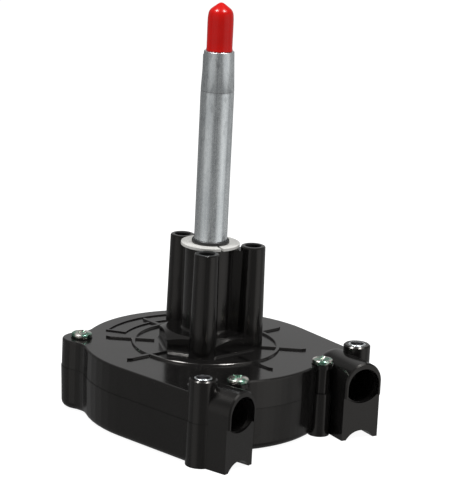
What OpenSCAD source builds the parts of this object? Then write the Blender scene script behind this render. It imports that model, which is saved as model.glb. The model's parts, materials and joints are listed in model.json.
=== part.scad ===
/* [Steering shaft] */
// Diameter of the steering shaft
shaft_d = 19.05; // [18:0.05:20]
// Length of shaft in front of the hub, up to the shoulder behind the thread
shaft_reach = 111; // [90:0.1:140]
// Length of the tapered wheel seat
taper_len = 22.4; // [18:0.1:28]
// Length of taper for each millimetre that its diameter loses
taper_ratio = 12; // [10:1:16]
// Diameter of the thread for the wheel nut
thread_d = 12.7; // [11:0.1:14]
// Length of the thread for the wheel nut
thread_len = 21.5; // [16:0.5:28]
// Width of the half-round key in the taper
key_w = 4.76; // [4:0.01:6]
// Diameter of the half-round key
key_d = 16; // [13:0.1:18]
// Depth of the key in the shaft
key_sink = 4.6; // [3.5:0.1:5.5]
// Height of the key above the shaft
key_stand = 2; // [1.2:0.1:2.4]
// Diameter of the shaft's rear journal, which carries the pinion
journal_d = 12; // [11:0.1:13]
// Diameter of the pin that locks the pinion to the shaft
lock_pin_d = 2.5; // [2:0.1:3]

/* [Thread cap] */
// Wall of the soft cap over the thread
cap_wall = 0.85; // [0.6:0.05:1.4]
// Solid length at the nose of the cap
cap_nose = 5.8; // [4:0.1:7]
// Length of the cap's rounded nose
nose_len = 8.5; // [7.5:0.1:12]

/* [Gears] */
// Module of the gear teeth
gear_m = 1.75; // [1.7:0.01:1.85]
// Face width of the gears
gear_w = 11.25; // [9:0.25:15]
// Length of the pinion's plain hub
hub_len = 2.6; // [2.6:0.1:4]
// Diameter of the planet gears' pins
pin_d = 8; // [7:0.1:9]
// Wall of the planet gears' bushes
planet_bush_t = 2; // [1.5:0.1:2.5]
// Thickness of the plate that ties the pins
carrier_t = 2; // [1.5:0.1:3]
// Width of the rim of that plate round each pin
carrier_rim = 6; // [4:0.1:8]
// Thickness of the washers on the planet gears' pins
washer_t = 0.75; // [0.5:0.05:1]

/* [Cable drum] */
// Diameter of the steering cable's core
cable_d = 10.4; // [9:0.1:11.5]
// Wall of the drum outside the ring gear
skirt_t = 5.3; // [4.5:0.1:8]
// Width of the drum's lips beside the cable groove
lip_t = 1.2; // [1:0.1:2.5]
// Thickness of the drum's web
web_t = 3; // [2.5:0.1:4]
// Wall of the drum's hub
drum_hub_t = 4.4; // [3.5:0.1:6]
// Thickness of the sliding ring behind the drum
slide_ring_t = 1.5; // [1:0.1:2.5]

/* [Casing] */
// Side wall of the casing
side_t = 3.5; // [3:0.1:5]
// Floor of the rear shell
floor_t = 3.5; // [3:0.1:5]
// Top plate of the front shell
plate_t = 3.2; // [2.8:0.1:4.5]
// Height from the rear shell's floor to the gears
gear_lift = 4.5; // [4.4:0.1:6]
// Depth of the parting plane below the cable's axis
parting_drop = 6.2; // [5.8:0.1:6.4]
// How far the rear shell's side stands out past the front shell's
lip_out = 0.3; // [0.1:0.1:0.6]
// Rounding of the front shell's outer edge
front_edge = 1.2; // [0.8:0.1:2.5]
// Rounding of the rear shell's outer edge
rear_edge = 4; // [2:0.1:4.5]
// How much the rear shell's side draws in towards its back
rear_draft = 0.8; // [0.2:0.1:1.2]
// Radius of the screw lugs at the corners
lug_r = 11.2; // [9.5:0.1:12]
// Direction of the corner lugs, from the X axis
lug_angle = 42.7; // [36:0.1:46]
// How far the lug screws lie outside the casing's circle
lug_out = 1.2; // [0.4:0.1:2]
// Rounding between the lugs and the casing
lug_blend = 14; // [10:0.5:20]

/* [Cable ports] */
// Diameter of the cable ports
port_d = 20; // [18:0.1:20.4]
// Depth of the cable ports
port_depth = 30; // [26:0.5:31]
// Angle that the ports turn in towards the front
port_angle = 11; // [8:0.5:14]
// Distance from the drum's side to a port's mouth
port_reach = 75.5; // [74:0.5:80]
// Wall beside a port
port_wall = 2; // [1.8:0.1:3]
// Depth of the arched recess in a port's mouth
mouth_len = 4; // [2:0.5:6]
// How much wider than the port that recess is on each side
mouth_gap = 0.3; // [0.2:0.1:0.6]
// How far the front shell's half of a mouth stands out past the rear shell's
mouth_step = 1.5; // [0.5:0.1:2.5]
// Chamfer round the outside of a mouth
mouth_edge = 0.8; // [0.4:0.1:1]
// Extra height of the arch over a port
arch_lift = 1.6; // [1:0.1:2.5]
// Length of the arch over a port, up to its round end
arch_len = 29; // [26:0.5:34]
// Distance of the lock bolts from the mouth
lock_back = 22; // [20:0.1:23]
// Distance of the lock bolts from the port's axis
lock_off = 8.3; // [7.9:0.1:8.8]
// Diameter of the lock bolts' holes
lock_d = 6; // [5:0.1:6.4]
// Outer diameter of the lock bolts' inserts
insert_d = 10; // [9:0.1:11]
// Length of the lock bolts' inserts
insert_len = 6.6; // [5:0.1:7]
// Radius of the lock bolts' bosses
lock_boss_r = 7.75; // [7:0.05:9]
// How far the lock bolts' bosses stand out of the side wall
boss_proud = 0.8; // [0.4:0.1:1.5]
// Height of the lock bolts' bosses above the top plate
lock_boss_h = 7.65; // [7:0.05:10]
// Chamfer at the top of those bosses
lock_edge = 0.8; // [0.4:0.1:1.2]
// Distance of the port screws from the mouth
port_screw_back = 17.8; // [17:0.1:19]
// Distance of the port screws from the port's axis
port_screw_off = 17.4; // [17:0.1:18.5]
// Radius of the port screws' columns in the front shell
column_r = 5; // [4.6:0.1:6]
// Radius of the port screws' columns in the rear shell
rear_column_r = 6.2; // [5.8:0.1:7]
// Radius of the hollow under a port's mouth
scallop_r = 11; // [10:0.1:13]
// Height of the hollow under a port's mouth
scallop_h = 4.9; // [3:0.1:6]
// Depth of the hollow under a port's mouth
scallop_len = 14; // [8:0.5:16]

/* [Hub tower] */
// Height of the hub tower above the top plate
tower_h = 59.7; // [50:0.1:75]
// Wall of the tower outside the bushes
tower_t = 2.5; // [2:0.1:4]
// Distance of the mounting bosses from the shaft's axis
boss_ring = 24.7; // [24:0.1:28]
// Radius of a mounting boss at its top
boss_r = 7.1; // [6.5:0.1:8]
// How much wider a mounting boss is at its foot
boss_draft = 0.9; // [0.4:0.1:1.4]
// Rounding at the top of a mounting boss
boss_edge = 0.8; // [0.4:0.1:1.2]
// How far a boss stands above the tower
boss_rise = 1; // [0.6:0.1:3]
// Diameter of the mounting screws' holes
boss_hole_d = 8.4; // [6:0.1:9]
// Depth of the mounting screws' holes
boss_hole_len = 25; // [18:0.5:32]
// Angle of the two front bosses from the front
boss_spread = 45; // [40:1:60]
// Width of the webs between the tower and its bosses
boss_web = 9; // [6:0.1:12]
// Distance of the hexagonal collar's flats from the shaft's axis
collar_r = 25.2; // [24.5:0.1:26.5]
// Radius of the collar's top inside its round chamfer
collar_top_r = 23.4; // [22.5:0.1:24]
// Height of the collar above the top plate
collar_h = 10.3; // [8:0.1:14]
// Rounding of the collar's corners
collar_corner = 1.5; // [0.8:0.1:3]
// Rounding at the feet of the tower and its collar
foot_r = 1.5; // [1:0.1:2.2]

/* [Bushes and seal] */
// Wall of the shaft's bushes
bush_t = 2.425; // [2:0.005:3]
// Length of the front bush's sleeve
bush_len = 17; // [12:0.5:22]
// Width of the front bush's flange outside its sleeve
flange_out = 4.9; // [3:0.1:5.2]
// Thickness of the front bush's flange
flange_t = 1.5; // [1:0.1:2]
// Thickness of the flanges on the bushes inside the casing
inner_flange_t = 1.2; // [0.8:0.1:2]
// Width of the split in the front bush
split_w = 1.4; // [1:0.1:2]
// Thickness of the seal ring round the shaft
seal_t = 1.3; // [1:0.1:2]
// Height of the seal ring
seal_h = 2.1; // [2:0.1:3]
// Wall of the rear bush
rear_bush_t = 2; // [1.5:0.1:2.5]

/* [Screws] */
// Diameter of the casing screws
screw_d = 6; // [5:0.1:6.2]
// Diameter of the casing screws' heads
screw_head_d = 12; // [10:0.1:12.6]
// Height of the casing screws' heads
screw_head_h = 3.4; // [3:0.1:5]
// Length of the casing screws below the head
screw_len = 34; // [28:1:36]

/* [Top plate pattern] */
// Outer radius of the raised ring
ring_r = 43.3; // [40:0.1:46]
// Width of the raised ring
ring_w = 2.8; // [2:0.1:3.6]
// Height of the raised ring and its pointers
relief_h = 1.2; // [0.8:0.1:1.6]
// Slope at the sides of the ring and its pointers
relief_slope = 0.35; // [0.2:0.05:0.5]
// Chamfer along the top of the ring and its pointers
relief_edge = 0.3; // [0.2:0.05:0.5]
// Length of a pointer outside the ring
pointer_out = 15; // [10:0.5:17]
// Length of a pointer inside the ring
pointer_in = 10.5; // [6:0.5:11]
// Width of a pointer
pointer_w = 3.5; // [2.5:0.1:5]
// Inner radius of the blank panel
panel_r = 49.3; // [48:0.1:52]
// Width of the blank panel
panel_w = 12.2; // [9:0.1:13]
// Angle that the blank panel spans
panel_span = 65; // [40:1:75]
// Width of the blank panel's border
border_w = 1.2; // [0.8:0.1:2]
// Height of the blank panel's border
border_h = 0.7; // [0.4:0.1:1]

/* [Hidden] */
$fn = 48;

// Clearances: running, between still pieces, and room beside what turns
run = 0.05;
seat = 0.02;
room = 0.6;
flush = 0.01;
cable_room = 0.8;
screw_play = 0.2;
drum_room = 1.1;
ceiling_room = 0.8;
plate_room = 0.5;
over = 1;

// Gear train: a pinion, three planet gears on still pins, and a ring gear inside the drum
sun_teeth = 12;
planet_teeth = 24;
ring_teeth = sun_teeth + 2 * planet_teeth;
pressure_angle = 25;
backlash = 0.16;
planets = [90, 210, 330];
sun_r = gear_m * sun_teeth / 2;
planet_r = gear_m * planet_teeth / 2;
ring_gear_r = gear_m * ring_teeth / 2;
centre_r = sun_r + planet_r;
addendum = 0.95 * gear_m;
dedendum = 1.25 * gear_m;
hub_step = 0.6;
pinion_hub_r = sun_r + addendum - hub_step;

// Radii of the drum and the casing; the cable's middle lies a little outside the drum's skirt
cable_out = 1.2;
lip_reach = 2.5;
inner_boss_t = 4;
skirt_r = ring_gear_r + dedendum + skirt_t;
lip_r = skirt_r + lip_reach;
cable_r = skirt_r + cable_out;
chamber_r = cable_r + cable_d / 2 + drum_room;
body_r = chamber_r + side_t;
boss_tube_r = shaft_d / 2 + run + bush_t + seat;
inner_boss_r = boss_tube_r + inner_boss_t;
drum_bore_r = inner_boss_r + run;
drum_hub_r = drum_bore_r + drum_hub_t;

// Heights, from the rear face up
gear_z = floor_t + gear_lift;
gear_top = gear_z + gear_w;
carrier_z = gear_top + room;
rivet_h = 1;
pin_tip_r = pin_d / 2 - 1;
hub_top = gear_top + hub_len;
web_z = max(carrier_z + carrier_t + rivet_h, hub_top + run + washer_t + run + inner_flange_t)
    + plate_room;
groove_foot = 2;
port_z = web_z + groove_foot + cable_d / 2;
drum_top = port_z + cable_d / 2 + lip_t;
ceiling_z = drum_top + ceiling_room;
plate_z = ceiling_z + plate_t;
parting_z = port_z - parting_drop;
tower_z = plate_z + tower_h;
flange_z = tower_z + flange_t;
shoulder_z = flange_z + shaft_reach;
taper_z = shoulder_z - taper_len;
taper_d = shaft_d - taper_len / taper_ratio;
thread_top = shoulder_z + thread_len;
skirt_drop = 1;
skirt_z = gear_z - skirt_drop;
lower_bush_z = hub_top + run + washer_t + run;
inner_boss_z = lower_bush_z + inner_flange_t;
journal_gap = 0.4;
bush_foot = 1;
journal_z = floor_t + journal_gap;
pin_foot = 1.2;
pin_boss_t = 3.5;
pin_boss_r = pin_d / 2 + pin_boss_t;
pad_h = 0.5;
pad_r = 19;
pocket_depth = 1.2;
screw_seat = plate_z + pad_h;
pad_rim = 0.3;
screw_pad_r = screw_head_d / 2 + pad_rim;
lock_top = plate_z + lock_boss_h;
collar_top = plate_z + collar_h;
boss_top = tower_z + boss_rise;
web_drop = 1.5;
hole_edge = 0.6;
relief_step = 0.1;

// Places in plan; a port's frame has its origin at the mouth and runs inwards along +Y
port_in = [sin(port_angle), cos(port_angle)];
port_side = [cos(port_angle), -sin(port_angle)];
port_mouth = cable_r * port_side - port_reach * port_in;
arm_w = port_d + 2 * port_wall;
function in_port(x, y) = port_mouth + x * port_side + y * port_in;
lock_at = in_port(lock_off, lock_back);
port_screw_at = in_port(-port_screw_off, port_screw_back);
lug_at = (body_r + lug_out) * [cos(lug_angle), sin(lug_angle)];
bosses = [90, -90 - boss_spread, -90 + boss_spread];
black = [0.12, 0.12, 0.12];
zinc = [0.72, 0.73, 0.74];
nylon = [0.93, 0.92, 0.88];

// Geometry helpers
function involute_angle(a) = tan(a) * 180 / PI - a;
function pressure_at(base_r, r) = r > base_r ? acos(base_r / r) : 0;
// Half the angle of a tooth at radius r, for a tooth that is thinner by play at the pitch circle
function half_tooth(teeth, r, play) =
    let (pitch_r = gear_m * teeth / 2, base_r = pitch_r * cos(pressure_angle))
    90 / teeth - play / 2 / pitch_r * 180 / PI
    + involute_angle(pressure_angle) - involute_angle(pressure_at(base_r, r));
// Outline of a spur gear between two radii, with its first tooth along +X
function gear_outline(teeth, low_r, high_r, play, steps) =
    let (flank = [for (k = [0 : steps]) low_r + (high_r - low_r) * k / steps])
    [for (i = [0 : teeth - 1], side = [-1, 1], k = [0 : steps])
        let (r = flank[side < 0 ? k : steps - k], a = 360 / teeth * i + side * half_tooth(teeth, r, play))
        r * [cos(a), sin(a)]];
// Where two circles cross, on one side of the line between their centres
function crossing(a, ra, b, rb, side) =
    let (d = norm(b - a), u = (b - a) / d, k = (ra * ra - rb * rb + d * d) / (2 * d))
    a + k * u + side * sqrt(ra * ra - k * k) * [-u[1], u[0]];

module at(p, z = 0) {
    translate([p[0], p[1], z]) children();
}

module tube(inner_r, outer_r, z, top) {
    translate([0, 0, z]) difference() {
        cylinder(r = outer_r, h = top - z);
        translate([0, 0, -over]) cylinder(r = inner_r, h = top - z + 2 * over);
    }
}

module hole(r, z, top) {
    translate([0, 0, z]) cylinder(r = r, h = top - z);
}

// Points along an arc; it runs clockwise where the second angle is the smaller
function arc(c, r, a, b, steps) =
    [for (k = [0 : steps]) let (turn = a + (b - a) * k / steps) c + r * [cos(turn), sin(turn)]];
function angle_of(v) = atan2(v[1], v[0]);

// Right half of the casing's outline, from the port screw up to the back, drawn in by inset
function half_outline(inset) =
    let (
        r = body_r - inset,
        wall_r = lock_boss_r - boss_proud,
        wall_turn = angle_of(lock_at) + acos((body_r - wall_r) / norm(lock_at)),
        low = crossing([0, 0], body_r + lug_blend, lug_at, lug_r + lug_blend, -1),
        high = crossing([0, 0], body_r + lug_blend, lug_at, lug_r + lug_blend, 1),
        to_low = angle_of(low - lug_at),
        to_high = angle_of(high - lug_at)
    )
    concat(
        arc([0, 0], r, -90, angle_of(port_screw_at) - 3, 7),
        [in_port(-port_screw_off + 2, port_screw_back + 2), in_port(lock_off - 1, lock_back - 1),
            lock_at + (wall_r - inset) * [cos(wall_turn), sin(wall_turn)]],
        arc([0, 0], r, wall_turn, angle_of(low), 6),
        arc(low, lug_blend + inset, angle_of(low) + 180, to_low + 180, 6),
        arc(lug_at, lug_r - inset, to_low, to_high, 14),
        arc(high, lug_blend + inset, to_high + 180, angle_of(high) + 180, 6),
        arc([0, 0], r, angle_of(high), 90, 9)
    );
// The whole outline at one height: the right half and its mirror image, with the middle points only once
function outline(inset, z) =
    let (half = half_outline(inset), n = len(half))
    concat([for (p = half) [p[0], p[1], z]], [for (k = [n - 2 : -1 : 1]) [-half[k][0], half[k][1], z]]);

// Solid through outlines of equal length, lowest first, closed by fans from the shaft's axis
module loft(rings) {
    n = len(rings[0]);
    last = (len(rings) - 1) * n;
    bottom_point = len(rings) * n;
    top_point = bottom_point + 1;
    polyhedron(
        points = concat([for (ring = rings, p = ring) p],
            [for (ring = [rings[0], rings[len(rings) - 1]]) [0, 0, ring[0][2]]]),
        faces = concat(
            [for (i = [0 : n - 1]) [i, (i + 1) % n, bottom_point]],
            [for (j = [0 : len(rings) - 2], i = [0 : n - 1])
                [j * n + i, (j + 1) * n + i, (j + 1) * n + (i + 1) % n, j * n + (i + 1) % n]],
            [for (i = [0 : n - 1]) [last + (i + 1) % n, last + i, top_point]]
        ));
}

// Outer form of a shell between two heights, with its outer edge rounded
module front_form(z, top, edge) {
    loft(concat([outline(0, z)],
        [for (a = [0 : 22.5 : 90]) outline(edge * (1 - cos(a)), top - edge + edge * sin(a))]));
}

module rear_form(z, top, edge, out) {
    low = rear_draft - out;
    loft(concat([for (a = [90 : -22.5 : 0]) outline(edge * (1 - cos(a)) + low, z + edge - edge * sin(a))],
        [outline(-out, top)]));
}

// Places its children in the frame of the right port, or mirrored in that of the left one
module at_port(side) {
    mirror([side < 0 ? 1 : 0, 0, 0]) at(port_mouth) rotate(-port_angle) children();
}

module port_bore(side) {
    at_port(side) translate([0, 0, port_z]) rotate([-90, 0, 0]) {
        translate([0, 0, -over]) cylinder(d = port_d, h = port_depth + over);
        cylinder(r = cable_d / 2 + cable_room, h = port_reach);
    }
}

// Recess in the front shell's half of a mouth: an arch with straight sides down to the parting plane
module front_mouth(side) {
    half_w = port_d / 2 + mouth_gap;
    at_port(side) translate([0, mouth_len, port_z]) rotate([90, 0, 0]) linear_extrude(mouth_len + over) {
        circle(half_w);
        translate([-half_w, -port_d]) square([2 * half_w, port_d]);
    }
}

// Groove in the rear shell's half of a mouth, as wide as the arch at the parting plane
module rear_mouth(side) {
    half_w = port_d / 2 + mouth_gap;
    depth = half_w - parting_drop;
    groove_r = (half_w * half_w / depth + depth) / 2;
    at_port(side) translate([0, mouth_len, parting_z - depth + groove_r]) rotate([90, 0, 0])
        cylinder(r = groove_r, h = mouth_len + over);
}

module screw_holes(r, z, top) {
    for (side = [-1, 1], p = [lug_at, port_screw_at])
        at([side * p[0], p[1]]) hole(r, z, top);
}

// Hexagon with rounded corners at height z, r out to its flats
function hexagon(r, z) =
    let (corner = (r - collar_corner) / cos(30))
    [for (turn = [0 : 60 : 300], side = [-30 : 15 : 30])
        [corner * cos(turn) + collar_corner * cos(turn + side),
            corner * sin(turn) + collar_corner * sin(turn + side), z]];

// Hexagonal collar round the tower's foot, its top chamfered round like a nut's
module collar() {
    slope = 30;
    intersection() {
        loft(concat([hexagon(collar_r + foot_r, ceiling_z + over)],
            [for (a = [0 : 22.5 : 90])
                hexagon(collar_r + foot_r * (1 - sin(a)), plate_z + foot_r * (1 - cos(a)))],
            [hexagon(collar_r, collar_top + over)]));
        translate([0, 0, ceiling_z])
            cylinder(r1 = collar_top_r + (collar_top - ceiling_z) / tan(slope), r2 = collar_top_r,
                h = collar_top - ceiling_z);
    }
}

// Casing
module tower_form() {
    core_r = boss_tube_r + tower_t;
    low = ceiling_z + over;
    rotate(20) rotate_extrude() {
        translate([0, ceiling_z]) square([core_r, tower_z - ceiling_z]);
        translate([0, inner_boss_z]) square([inner_boss_r, low - inner_boss_z]);
        difference() {
            translate([0, collar_top - over]) square([core_r + foot_r, foot_r + over]);
            translate([core_r + foot_r, collar_top + foot_r]) circle(foot_r);
        }
    }
    collar();
    for (a = bosses) rotate(a) {
        translate([0, -boss_web / 2, low]) cube([boss_ring, boss_web, tower_z - web_drop - low]);
        translate([boss_ring, 0, 0]) rotate_extrude() polygon([[0, low], [boss_r + boss_draft, low],
            [boss_r, boss_top - boss_edge], [boss_r - 0.3 * boss_edge, boss_top - 0.35 * boss_edge],
            [boss_r - boss_edge, boss_top], [0, boss_top]]);
    }
}

// Tower with its bosses, and the tube inside the casing that carries the drum
module hub_tower() {
    shaft_gap = 1;
    difference() {
        tower_form();
        hole(shaft_d / 2 + shaft_gap, inner_boss_z - over, tower_z + over);
        hole(boss_tube_r, inner_boss_z - over, drum_top);
        hole(boss_tube_r, tower_z - bush_len - seat, tower_z + over);
        for (a = bosses) rotate(a) translate([boss_ring, 0, boss_top]) {
            hole(boss_hole_d / 2, -boss_hole_len, over);
            translate([0, 0, -hole_edge])
                cylinder(r1 = boss_hole_d / 2, r2 = boss_hole_d / 2 + hole_edge + seat, h = hole_edge + seat);
        }
    }
}

// Section of a raised line of width w that stands h above the top plate
function relief_section(w, h) =
    let (foot = w / 2, shoulder = foot - relief_slope, crest = shoulder - relief_edge)
    [[-foot, -over], [-foot, 0], [-shoulder, h - relief_edge], [-crest, h],
        [crest, h], [shoulder, h - relief_edge], [foot, 0], [foot, -over]];

// Raised bar that runs outwards from radius r, with a point at its far end if tip is more than 0
module pointer_bar(r, length, w, tip) {
    intersection() {
        translate([r, 0, 0]) rotate([90, 0, 90]) linear_extrude(length + over)
            polygon(relief_section(w, relief_h - relief_step));
        translate([0, 0, -2 * over]) linear_extrude(relief_h + 3 * over)
            polygon([[r - over, -w], [r + length - tip, -w / 2 - seat], [r + length, 0],
                [r + length - tip, w / 2 + seat], [r - over, w]]);
    }
}

module plate_pattern() {
    border_turn = border_w / panel_r * 180 / PI;
    ring_bite = 0.8;
    inner_bar_w = pointer_w - 0.8;
    translate([0, 0, plate_z]) {
        rotate(65) rotate_extrude() translate([ring_r - ring_w / 2, 0])
            polygon(relief_section(ring_w, relief_h));
        for (a = [0 : 45 : 315]) rotate(a) {
            pointer_bar(ring_r - ring_bite, pointer_out + ring_bite, pointer_w, pointer_w);
            pointer_bar(ring_r - ring_w - pointer_in, pointer_in + ring_bite, inner_bar_w, 0);
        }
        difference() {
            rotate(90 - panel_span / 2) rotate_extrude(angle = panel_span)
                translate([panel_r, -over]) square([panel_w, over + border_h]);
            rotate(90 - panel_span / 2 + border_turn) rotate_extrude(angle = panel_span - 2 * border_turn)
                translate([panel_r + border_w, -2 * over])
                    square([panel_w - 2 * border_w, 3 * over + border_h]);
        }
    }
}

module front_arm(side) {
    arm_z = parting_z + flush;
    arch_z = port_z + arch_lift;
    pad_depth = 2;
    at_port(side) {
        difference() {
            translate([0, arch_len, arch_z]) rotate([90, 0, 0]) linear_extrude(arch_len)
                arch_section(arm_z - arch_z);
            mouth_chamfer(arch_z);
        }
        translate([0, arch_len, arch_z]) rotate_extrude(angle = 180) intersection() {
            arch_section(arm_z - arch_z);
            translate([0, -arm_w]) square([arm_w, 2 * arm_w]);
        }
        translate([lock_off, lock_back, 0]) {
            hole(lock_boss_r, arm_z, lock_top - lock_edge);
            translate([0, 0, lock_top - lock_edge])
                cylinder(r1 = lock_boss_r, r2 = lock_boss_r - lock_edge, h = lock_edge);
        }
        translate([-port_screw_off, port_screw_back, 0]) {
            hole(column_r, arm_z, plate_z - flush);
            hole(screw_pad_r, plate_z - pad_depth, screw_seat);
            column_web(arm_z, plate_z - flush);
        }
    }
}

// Chamfer round the outside of the front shell's half of a mouth
module mouth_chamfer(arch_z) {
    edge_r = arm_w / 2 - mouth_edge;
    cut = [[edge_r - over, -over], [edge_r + mouth_edge + over, mouth_edge + over],
        [edge_r + mouth_edge + over, -over]];
    translate([0, 0, arch_z]) rotate([-90, 0, 0]) rotate(180) rotate_extrude(angle = 180) polygon(cut);
    for (side = [0, 1]) mirror([side, 0, 0])
        translate([0, 0, parting_z - over]) linear_extrude(arch_z + over - parting_z) polygon(cut);
}

// Web between a port screw's column, where it has its origin, and the arm beside it
module column_web(z, top) {
    web_w = 9;
    web_side = 1;
    translate([0, web_side, z]) cube([port_screw_off - arm_w / 2 + over, web_w, top - z]);
}

// Section of an arm above the parting plane, round the arch's centre
module arch_section(low) {
    intersection() {
        circle(d = arm_w);
        translate([-arm_w / 2, low]) square([arm_w, arm_w / 2 - low]);
    }
    translate([-arm_w / 2, low]) square([arm_w, -low]);
}

module front_shell() {
    lock_depth = port_z - 4;
    difference() {
        union() {
            difference() {
                union() {
                    front_form(parting_z, plate_z, front_edge);
                    front_arm(1);
                    front_arm(-1);
                }
                hole(chamber_r, parting_z - over, ceiling_z);
            }
            for (side = [-1, 1])
                at([side * lug_at[0], lug_at[1]]) hole(screw_pad_r, plate_z - over, screw_seat);
        }
        hole(boss_tube_r + over, ceiling_z - over, plate_z + over);
        for (side = [-1, 1]) {
            port_bore(side);
            front_mouth(side);
            at([side * lock_at[0], lock_at[1]]) {
                hole(lock_d / 2, lock_depth, lock_top + over);
                hole(insert_d / 2 + seat, lock_top - insert_len, lock_top + over);
            }
        }
        screw_holes(screw_d / 2 + screw_play, parting_z - over, screw_seat + over);
    }
}

module front_housing() {
    color(black) {
        front_shell();
        hub_tower();
        plate_pattern();
    }
}

module rear_arm(side) {
    arm_top = parting_z - flush;
    at_port(side) {
        translate([-arm_w / 2, mouth_step, 0]) cube([arm_w, arch_len - mouth_step, arm_top]);
        translate([lock_off, lock_back, 0]) hole(lock_boss_r + lip_out, 0, arm_top);
        translate([-port_screw_off, port_screw_back, 0]) {
            hole(rear_column_r, 0, arm_top);
            column_web(0, arm_top);
        }
    }
}

module back_housing() {
    ledge_top = skirt_z - run - slide_ring_t;
    ledge_lip = 0.8;
    ledge_side = 1;
    post_t = 4;
    rib_t = 3;
    rib_h = 2.5;
    rib_low = journal_d / 2 + post_t;
    pin_rest = gear_z - run - washer_t;
    screw_room = 2;
    color(black) difference() {
        union() {
            difference() {
                union() {
                    rear_form(pad_h, parting_z, rear_edge, lip_out);
                    hole(pad_r, 0, pad_h + over);
                    for (side = [-1, 1]) {
                        rear_arm(side);
                        at([side * lug_at[0], lug_at[1]])
                            hole(lug_r - rear_edge - ledge_side, 0, pad_h + over);
                    }
                }
                hole(chamber_r, floor_t, parting_z + over);
            }
            tube(skirt_r - skirt_t - ledge_side, skirt_r + ledge_side, floor_t - over,
                ledge_top + ledge_lip);
            hole(rib_low + rear_bush_t, floor_t - over, gear_z - run - inner_flange_t);
            for (i = [0 : 2]) at_planet(i) hole(pin_boss_r, floor_t - over, pin_rest);
            for (a = planets) rotate(a + 60) translate([rib_low, -rib_t / 2, floor_t - over])
                cube([skirt_r - skirt_t - rib_low, rib_t, rib_h]);
        }
        tube(skirt_r - skirt_t, skirt_r, ledge_top, parting_z);
        hole(journal_d / 2 + rear_bush_t + seat, floor_t - bush_foot, gear_z);
        for (i = [0 : 2]) at_planet(i) hole(pin_d / 2 + seat, pin_foot, gear_z);
        for (side = [-1, 1]) {
            port_bore(side);
            rear_mouth(side);
            at_port(side) translate([0, scallop_len, scallop_h - scallop_r]) rotate([90, 0, 0])
                cylinder(r = scallop_r, h = scallop_len + over);
        }
        screw_holes(screw_d / 2 + seat, screw_seat - screw_len - screw_room, parting_z + over);
        back_pockets();
    }
}

// Pockets between ribs on the rear face, with a boss left round each planet gear's pin
module back_pockets() {
    pocket_rim = 3;
    pocket_r = pad_r + pocket_rim;
    ring_t = 2;
    difference() {
        for (a = [0 : 60 : 300]) rotate(a + 4) rotate_extrude(angle = 52)
            translate([pocket_r, -over]) square([skirt_r - ring_t - pocket_r, over + pad_h + pocket_depth]);
        for (i = [0 : 2]) at_planet(i) hole(pin_boss_r, -2 * over, floor_t);
    }
}

// Shaft and what turns with it
module steering_shaft() {
    foot_edge = 0.5;
    shoulder_edge = 0.4;
    neck_r = thread_d / 2 - 0.9;
    neck_top = shoulder_z + 1.6;
    thread_z = shoulder_z + 2.4;
    thread_edge = 1.2;
    color(zinc) difference() {
        rotate_extrude() polygon([[0, journal_z], [journal_d / 2 - foot_edge, journal_z],
            [journal_d / 2, journal_z + foot_edge], [journal_d / 2, hub_top + run],
            [shaft_d / 2, hub_top + run], [shaft_d / 2, taper_z], [taper_d / 2, shoulder_z - shoulder_edge],
            [taper_d / 2 - shoulder_edge, shoulder_z], [neck_r, shoulder_z], [neck_r, neck_top],
            [thread_d / 2, thread_z], [thread_d / 2, thread_top - thread_edge],
            [thread_d / 2 - thread_edge, thread_top], [0, thread_top]]);
        lock_pin(lock_pin_d / 2 + seat, over);
        key_disc(key_w / 2 + seat, key_d / 2 + seat, over + key_stand);
    }
}

// Half-round key seat at the middle of the taper, on the side away from the ports
module key_disc(half_w, r, stand) {
    face_y = (shaft_d + taper_d) / 4;
    rise = key_d / 2 - key_sink;
    translate([-half_w, face_y, (taper_z + shoulder_z) / 2]) intersection() {
        translate([0, rise, 0]) rotate([0, 90, 0]) cylinder(r = r, h = 2 * half_w);
        translate([-over, -key_d, -key_d]) cube([2 * half_w + 2 * over, key_d + stand, 2 * key_d]);
    }
}

module woodruff_key() {
    color(zinc) key_disc(key_w / 2, key_d / 2, key_stand);
}

module lock_pin(r, extra) {
    pin_sink = 0.3;
    translate([0, 0, gear_top + hub_len / 2]) rotate([0, 90, 0])
        cylinder(r = r, h = 2 * (pinion_hub_r - pin_sink + extra), center = true);
}

module pinion_lock_pin() {
    color(zinc) lock_pin(lock_pin_d / 2, 0);
}

module drive_pinion() {
    color([0.5, 0.5, 0.52]) difference() {
        union() {
            translate([0, 0, gear_z]) linear_extrude(gear_w)
                polygon(gear_outline(sun_teeth, sun_r - dedendum, sun_r + addendum, backlash, 5));
            hole(pinion_hub_r, gear_top, hub_top);
        }
        hole(journal_d / 2 + seat, gear_z - over, hub_top + over);
        lock_pin(lock_pin_d / 2 + seat, over);
    }
}

module thread_cap() {
    cap_gap = 0.15;
    cap_rim = 0.15;
    hollow_edge = 0.5;
    inner_r = thread_d / 2 + cap_gap;
    outer_r = inner_r + cap_wall;
    rim_h = 1;
    rim_slope = 0.4;
    top = thread_top + cap_nose;
    nose = [for (k = [0 : 9])
        let (a = 10 * k) [outer_r * pow(cos(a), 0.85), top - nose_len + nose_len * sin(a)]];
    color([0.85, 0.05, 0.07]) rotate_extrude() polygon(concat(
        [[inner_r, shoulder_z + run], [outer_r + cap_rim, shoulder_z + run],
            [outer_r + cap_rim, shoulder_z + rim_h], [outer_r, shoulder_z + rim_h + rim_slope]], nose,
        [[0, top], [0, thread_top + hollow_edge], [inner_r - 2 * hollow_edge, thread_top + hollow_edge],
            [inner_r, thread_top - hollow_edge]]));
}

// Bushes, washers and seal
module split_sleeve(z, top, flange_low, flange_high, out) {
    tube(shaft_d / 2 + run, boss_tube_r - seat, z, top);
    tube(shaft_d / 2 + run, boss_tube_r - seat + out, flange_low, flange_high);
}

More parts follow.
